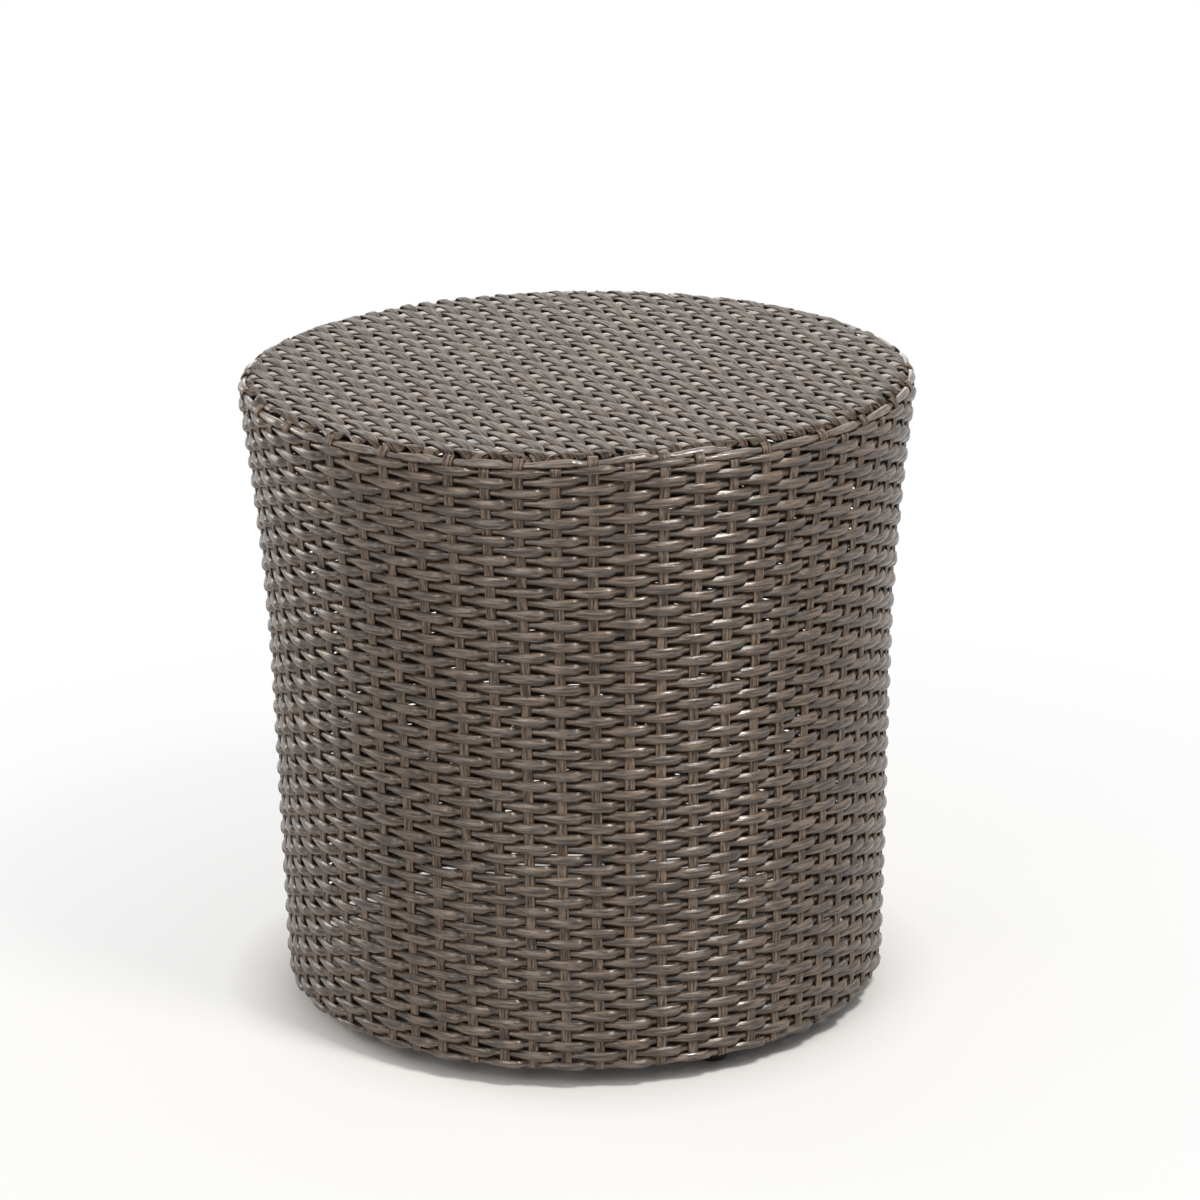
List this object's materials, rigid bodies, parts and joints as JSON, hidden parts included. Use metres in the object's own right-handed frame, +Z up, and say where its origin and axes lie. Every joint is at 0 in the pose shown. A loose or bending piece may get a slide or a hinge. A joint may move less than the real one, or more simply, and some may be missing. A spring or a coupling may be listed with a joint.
{
  "type": "wicker side table",
  "caption": "Round drum-shaped outdoor side table of woven synthetic strand over a welded tube frame, flared towards a woven top, on levelling glides.",
  "frame": {"origin": "on the floor, under the middle of the drum", "axes": "+Z up along the drum's axis; the glides stand on the X and Y axes; the bars under the top run along Y"},
  "size_m": [0.5045, 0.5045, 0.4842],
  "materials": {
    "strand": "semi-gloss streaked grey-brown synthetic rattan",
    "frame": "dark brown powder coat on aluminium tube",
    "glide": "black moulded plastic",
    "zinc": "zinc-plated steel"
  },
  "bodies": {
    "table": {"base_ring": "frame", "top_ring": "frame", "upright_1": "frame", "upright_2": "frame", "upright_3": "frame", "upright_4": "frame", "upright_5": "frame", "upright_6": "frame", "upright_7": "frame", "upright_8": "frame", "crossbar_1": "frame", "crossbar_2": "frame", "crossbar_3": "frame", "foot_tab_1": "frame", "foot_tab_2": "frame", "foot_tab_3": "frame", "foot_tab_4": "frame", "foot_nut_1": "zinc", "foot_nut_2": "zinc", "foot_nut_3": "zinc", "foot_nut_4": "zinc", "woven_side": "strand", "woven_top": "strand", "rim_binding": "strand"},
    "foot_pad_1": {"foot_pad_1": "glide"},
    "foot_stud_1": {"foot_stud_1": "zinc"},
    "foot_pad_2": {"foot_pad_2": "glide"},
    "foot_stud_2": {"foot_stud_2": "zinc"},
    "foot_pad_3": {"foot_pad_3": "glide"},
    "foot_stud_3": {"foot_stud_3": "zinc"},
    "foot_pad_4": {"foot_pad_4": "glide"},
    "foot_stud_4": {"foot_stud_4": "zinc"}
  },
  "joints": [
    {"name": "foot_1_slide", "type": "slide", "parent": "table", "child": "foot_pad_1", "axis": [0, 0, -1], "range_m": [0, 0.01]},
    {"name": "foot_1_turn", "type": "hinge", "parent": "foot_pad_1", "child": "foot_stud_1", "pos_m": [0.19438, 0, 0], "axis": [0, 0, -1], "range_deg": [0, 2880]},
    {"name": "foot_2_slide", "type": "slide", "parent": "table", "child": "foot_pad_2", "axis": [0, 0, -1], "range_m": [0, 0.01]},
    {"name": "foot_2_turn", "type": "hinge", "parent": "foot_pad_2", "child": "foot_stud_2", "pos_m": [0, 0.19438, 0], "axis": [0, 0, -1], "range_deg": [0, 2880]},
    {"name": "foot_3_slide", "type": "slide", "parent": "table", "child": "foot_pad_3", "axis": [0, 0, -1], "range_m": [0, 0.01]},
    {"name": "foot_3_turn", "type": "hinge", "parent": "foot_pad_3", "child": "foot_stud_3", "pos_m": [-0.19438, 0, 0], "axis": [0, 0, -1], "range_deg": [0, 2880]},
    {"name": "foot_4_slide", "type": "slide", "parent": "table", "child": "foot_pad_4", "axis": [0, 0, -1], "range_m": [0, 0.01]},
    {"name": "foot_4_turn", "type": "hinge", "parent": "foot_pad_4", "child": "foot_stud_4", "pos_m": [0, -0.19438, 0], "axis": [0, 0, -1], "range_deg": [0, 2880]}
  ],
  "couplings": [
    {"joint": "foot_1_slide", "follows": "foot_1_turn", "m_per_rad": 0.00019894},
    {"joint": "foot_2_slide", "follows": "foot_2_turn", "m_per_rad": 0.00019894},
    {"joint": "foot_3_slide", "follows": "foot_3_turn", "m_per_rad": 0.00019894},
    {"joint": "foot_4_slide", "follows": "foot_4_turn", "m_per_rad": 0.00019894}
  ]
}
